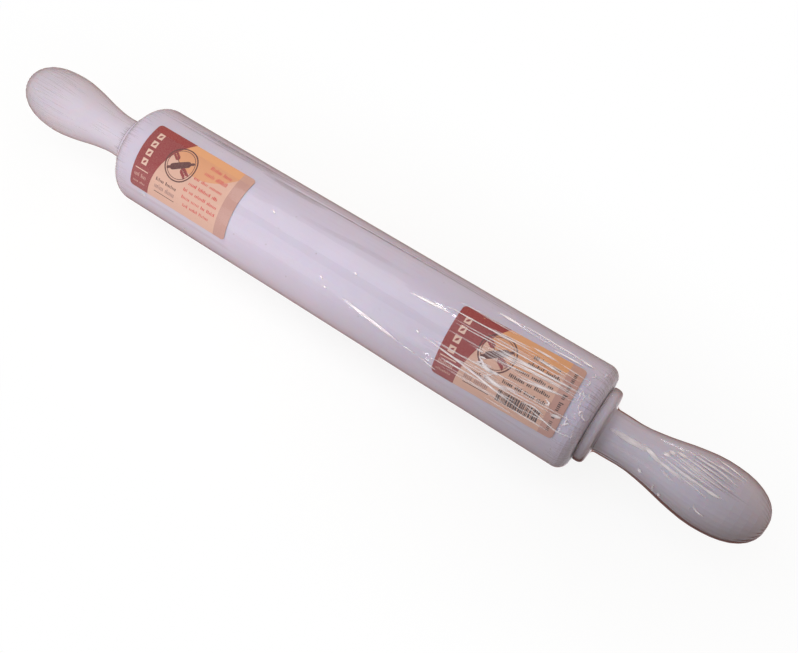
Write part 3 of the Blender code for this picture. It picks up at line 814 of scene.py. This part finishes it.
# The finishes of the painted highlights and of the painted shade lines
painted_highlight_finish = gathered_film_painted_light("shrink_film_painted_highlight", PAINTED_HIGHLIGHT_COLOUR, roughness=0.25, mirror=0.3)
painted_shade_finish = gathered_film_painted_light("shrink_film_painted_shade", PAINTED_SHADE_LINE_COLOUR, roughness=0.3, mirror=0.0)
folded("barrel_film_painted_highlight_folds", painted_highlight_folds, barrel_outline, over_labels, painted_highlight_finish, "barrel")
folded("barrel_film_painted_shade_lines", painted_shade_folds, barrel_outline, over_labels, painted_shade_finish, "barrel")


def on_handle(along, turn):
    """How far the folds' film stands off a handle."""
    return HANDLE_GAP


# The painted highlights on the right handle: one down the neck, and from its end a fan over the bulb
fan = [
    (1.9, 0.8, (163, 16.3), (170, 16.5), (176, 16.3), (185, 15.5)),
    (1.3, 0.16, (164, 44), (178, 44), (192, 43)),
    (1.25, 1.0, (181.5, 9.5), (185, 15), (188, 19.5), (192.5, 26)),
    (0.8, 0.8, (186, 16), (190, 22.5), (195, 25), (200, 27), (206, 32)),
    (0.65, 0.5, (193, 32.5), (197, 37.5), (201.5, 40.5)),
    (0.6, 0.8, (189.5, 11.5), (195.5, 15.4), (202, 20), (212, 22.3), (218, 24.3), (224.5, 23.5)),
    (0.85, 0.9, (214, 23.2), (219, 24.5), (224.5, 23.6)),
    (0.5, 0.7, (195, 24), (204, 27), (212, 30), (218.5, 34.6)),
    (0.4, 0.5, (198, 20.5), (206, 24), (214, 27)),
    (0.5, 0.7, (191.5, 3.5), (197, 6), (202, 11), (210, 15), (220, 18)),
    (1.1, 0.95, (191, 3), (195, 4.8)),
    (0.5, 0.8, (193, -5.5), (197, -3), (202, 1.5), (208, 6), (214.5, 9.6), (224.5, 12)),
    (1.1, 0.95, (192.8, -6), (196.8, -3)),
    (0.55, 0.85, (196.5, -11.5), (200.5, -7), (205.5, -4.8), (214.3, 2), (222.4, 6.2), (228, 5.8)),
    (1.0, 0.95, (196.3, -11.5), (199, -8.5), (202.5, -7)),
    (0.5, 0.85, (201.8, -12.5), (207.4, -8.7), (215, -4.8), (223, -2.8)),
    (0.8, 0.85, (195.5, -21), (199.5, -16.5)),
    (0.6, 0.9, (200.5, -23), (205, -18.3), (210, -14.4), (216, -12.5), (221, -9.6), (228, -5)),
    (0.5, 0.75, (203, -29), (209.3, -22), (217.4, -19), (230, -18.3)),
    (0.9, 1.0, (216, -22), (219.8, -19.6)),
    (0.75, 0.9, (213, -36.5), (215.5, -32.7), (223.6, -28.8), (231, -25)),
    (0.4, 0.6, (196, 1), (204, 6.5), (212, 12), (219, 15)),
    (0.4, 0.6, (200, -2), (206, 1.5), (214, 6), (221, 9)),
    (1.1, 1.0, (184.8, 62), (187.2, 66.5)),
    (0.6, 0.5, (183.5, 52), (184.5, 56)),
    (0.6, 0.9, (215, 52), (215.8, 57), (218, 60), (222, 60.8)),
    (0.7, 0.8, (214.5, 60), (214.9, 64)),
    (0.6, 0.7, (219.5, 42), (220.3, 45)),
    (0.9, 0.9, (199.3, 78), (199.6, 88)),
    (0.5, 0.6, (195, 69), (195.3, 80), (195.8, 92)),
    (0.6, 0.4, (198, 71), (198, 76)),
]
# Fine dark lines of painted shade across the fan
fan_painted_shades = [
    (0.4, 0.18, (203, 3.5), (212, 9), (222, 13), (232, 13)),
    (0.4, 0.22, (205, -2), (214, 3.5), (223, 8.5), (236, 9.5)),
    (0.4, 0.22, (203, -9.5), (210, -6), (218, -1), (228, 1)),
    (0.4, 0.22, (203, -16), (210, -11.5), (219, -7), (226, -2.5)),
    (0.4, 0.22, (204, -24), (211, -18), (222, -15), (230, -14)),
    (0.4, 0.18, (194, 12), (202, 16.5), (213, 19.5), (222, 21)),
]

# The film's gathered end on each flange, a thin ring of painted highlight beside the running gap
gap_ring = [(0.6, 0.6, *[(FLANGE_RING, a + step) for step in (0, 60, 120)]) for a in range(-180, 180, 60)]
fan += gap_ring

# The left handle: faint hairs of painted highlight along the bulb, and fine dark lines of painted shade
# along the bulb and on the folds round the neck
hairs = [(half, density, *[(-x, a) for x, a in route]) for half, density, *route in gap_ring]
for _ in range(26):
    x, angle = draw.uniform(-238, -180), draw.uniform(-60, 110)
    route = ((x, angle), (x + draw.uniform(10, 26), angle + draw.uniform(-4, 4)))
    hairs.append((0.35, draw.uniform(0.08, 0.2), *route))
fine_lines = []
for k in range(46):
    x, angle = draw.uniform(-244, -222), -62 + 3.9 * k + draw.uniform(-1, 1)
    route = ((x, angle), (x + draw.uniform(14, 34), angle + draw.uniform(-2, 2)))
    fine_lines.append((0.3, draw.uniform(0.04, 0.14), *route))
for k in range(34):
    x, angle = draw.uniform(-170, -166), -60 + 5 * k + draw.uniform(-1, 1)
    fine_lines.append((0.4, draw.uniform(0.12, 0.3), (x, angle), (-160.5, angle)))
for side, lit_folds, shaded_folds in (("right", fan, fan_painted_shades), ("left", hairs, fine_lines)):
    film_name, outline = f"{side}_handle_film", handle_film[side]
    folded(film_name + "_painted_highlight_folds", lit_folds, outline, on_handle, painted_highlight_finish, "handles_and_axle")
    folded(film_name + "_painted_shade_lines", shaded_folds, outline, on_handle, painted_shade_finish, "handles_and_axle")


# The view: a normal lens from above the right end, turned so that the pin runs from the upper left to the
# lower right of the picture.
VIEW_TURN = (28.55, 0.0, 35.07)
VIEW_PLACE = (0.17619, -0.20497, 0.43476)
LENS, SENSOR_WIDTH = 41.05, 36.0

camera = placed("camera", bpy.data.cameras.new("camera"))
camera.data.lens, camera.data.sensor_width = LENS, SENSOR_WIDTH
camera.location = VIEW_PLACE
camera.rotation_euler = [math.radians(a) for a in VIEW_TURN]
bpy.context.scene.camera = camera


# The floor: a wide sheet of pale card. It is white where the camera or a mirror sees it, less the pin's own
# soft shadow. The light that it throws up under the pin is a warm grey, and darker under the right handle.
FLOOR_SIZE = 12
FLOOR_COLOUR, FLOOR_FAR_COLOUR = "DCCBC1", "3A302C"
FLOOR_TURNS_AT, FLOOR_FAR_FROM = 0.08, 0.20
SHADOW_SHARE, SHADOW_EDGE, SHADOW_STRETCH = 0.17, 0.17, (0.4, 1.0, 1.0)
WHITE = linear("FFFFFF")


def in_sight(tree):
    """Two shares, 0 or 1: what the camera, a mirror or a clear sheet shows, and what the camera sees."""
    path = add(tree, "LightPath").outputs
    direct = {0: path["Is Camera Ray"], 1: path["Is Glossy Ray"]}
    seen = add(tree, "Math", direct, operation="MAXIMUM").outputs[0]
    seen = add(tree, "Math", {0: seen, 1: path["Is Transmission Ray"]}, operation="MAXIMUM").outputs[0]
    return seen, path["Is Camera Ray"]


card, tree, lit = surface("pale_card", {"Roughness": 0.9})
seen, _ = in_sight(tree)
white_card = add(tree, "BsdfDiffuse", {"Color": WHITE})
glow = add(tree, "Emission", {"Color": WHITE, "Strength": 1.0})
place = add(tree, "TexCoord").outputs["Object"]
parts = add(tree, "SeparateXYZ", {"Vector": place})
turning = {"Value": parts.outputs["X"], "From Min": FLOOR_TURNS_AT, "From Max": FLOOR_FAR_FROM}
far = add(tree, "MapRange", turning)
bounce = {"Factor": far.outputs[0], "A": linear(FLOOR_COLOUR), "B": linear(FLOOR_FAR_COLOUR)}
add(tree, "Mix", bounce, into=lit.inputs["Base Color"], data_type="RGBA")
drawn = add(tree, "Mapping", {"Vector": place, "Scale": SHADOW_STRETCH})
away = add(tree, "VectorMath", {0: drawn.outputs[0]}, operation="LENGTH")
fading = {"Value": away.outputs["Value"], "From Max": SHADOW_EDGE, "To Min": SHADOW_SHARE, "To Max": 0.0}
shaded = add(tree, "MapRange", fading, interpolation_type="SMOOTHSTEP")
shown = add(tree, "MixShader", {0: shaded.outputs[0], 1: glow.outputs[0], 2: white_card.outputs[0]})
both = {0: seen, 1: lit.outputs[0], 2: shown.outputs[0]}
add(tree, "MixShader", both, into=tree.nodes["Material Output"].inputs["Surface"])

bm = bmesh.new()
bmesh.ops.create_grid(bm, x_segments=8, y_segments=8, size=FLOOR_SIZE / 2)
mesh = bpy.data.meshes.new("floor")
bm.to_mesh(mesh)
bm.free()
mesh.materials.append(card)
floor = placed("floor", mesh)
floor.location.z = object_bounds()[0].z


# The lights: two soft boxes on either side of the camera's line, which give the two broad soft bands along
# the barrel, and three small lamps that glint on the film. The fills, which no mirror shows, light the left
# end more than the right. A warm room fills in from behind and from the right.
def lamp(name, along, turn, away, long, wide, power, colour="FFFFFF", mirrored=True):
    """A rectangular lamp that faces the pin's axis, turned about it from above towards the front."""
    light = bpy.data.lights.new(name, "AREA")
    light.shape = "RECTANGLE"
    light.size, light.size_y = long, wide
    light.energy = power
    light.color = linear(colour)[:3]
    held = placed(name, light)
    a = math.radians(turn)
    held.location = (along, -away * math.sin(a), away * math.cos(a))
    held.rotation_euler = (a, 0, 0)
    held.visible_camera = False
    held.visible_glossy = mirrored
    return held


lamp("back_soft_box", -0.13, 4, 0.34, 0.24, 0.20, 0.14)
lamp("front_soft_box", -0.13, 56, 0.34, 0.24, 0.24, 0.12)
lamp("left_glint_lamp", -0.071, -10.7, 0.50, 0.049, 0.020, 0.05)
lamp("low_glint_lamp", -0.120, 84, 0.50, 0.078, 0.014, 0.08)
lamp("rear_glint_lamp", 0.048, -74, 0.50, 0.100, 0.020, 0.06)
for values in (
    ("middle_fill", 0.00, 10, 0.34, 0.30, 0.30, 0.50, "F2F8FF"),
    ("left_fill", -0.40, 20, 0.40, 0.30, 0.40, 0.54, "FFF6EC"),
    ("left_low_fill", -0.37, 66, 0.40, 0.20, 0.16, 0.33, "FFF8EA"),
    ("rear_fill", -0.10, -20, 0.34, 0.20, 0.20, 0.10, "FFF6E6"),
    ("left_rear_fill", -0.20, -40, 0.34, 0.40, 0.30, 0.12, "FFF6E6"),
    ("front_low_fill", -0.06, 70, 0.24, 0.20, 0.10, 0.15, "FFFFFF"),
    ("right_fill", 0.22, -2, 0.40, 0.20, 0.30, 0.16, "F2F8FF"),
):
    lamp(*values, mirrored=False)
RIGHT_TIP = Vector((0.25, 0, 0))
end_fill = lamp("end_fill", 0.61, -45, 0.17, 0.14, 0.14, 0.12, "F2F8FF", mirrored=False)
end_fill.rotation_euler = (end_fill.location - RIGHT_TIP).to_track_quat("Z", "Y").to_euler()

# The room: dim and warm where it lights the pin, and white where the camera sees it. Mirrors see it white
# too, but duller overhead
ROOM_COLOUR = "FFDAB2"
REAR_GLOW, RIGHT_GLOW = 0.5, 0.3
CEILING_GLOW, CEILING_START, CEILING_FULL = 0.6, 0.25, 0.7
world = bpy.data.worlds.new("studio")
bpy.context.scene.world = world
world.use_nodes = True
tree = world.node_tree
fill = tree.nodes["Background"]
fill.inputs["Color"].default_value = linear(ROOM_COLOUR)
parts = add(tree, "SeparateXYZ", {"Vector": add(tree, "TexCoord").outputs["Generated"]})
behind = {"Value": parts.outputs["Y"], "From Min": 0.0, "To Min": 0.03, "To Max": REAR_GLOW}
rear = add(tree, "MapRange", behind)
right = add(tree, "MapRange", {"Value": parts.outputs["X"], "From Min": 0.0, "To Max": RIGHT_GLOW})
add(tree, "Math", {0: rear.outputs[0], 1: right.outputs[0]}, into=fill.inputs["Strength"], operation="ADD")
seen, from_camera = in_sight(tree)
overhead = {"Value": parts.outputs["Z"], "From Min": CEILING_START, "From Max": CEILING_FULL}
duller = {**overhead, "To Min": 1.0, "To Max": CEILING_GLOW}
wall = add(tree, "MapRange", duller, interpolation_type="SMOOTHSTEP")
strength = add(tree, "Math", {0: from_camera, 1: wall.outputs[0]}, operation="MAXIMUM")
white_wall = add(tree, "Background", {"Color": WHITE, "Strength": strength.outputs[0]})
room = {0: seen, 1: fill.outputs[0], 2: white_wall.outputs[0]}
add(tree, "MixShader", room, into=tree.nodes["World Output"].inputs["Surface"])
bpy.context.scene.view_settings.view_transform = "Standard"
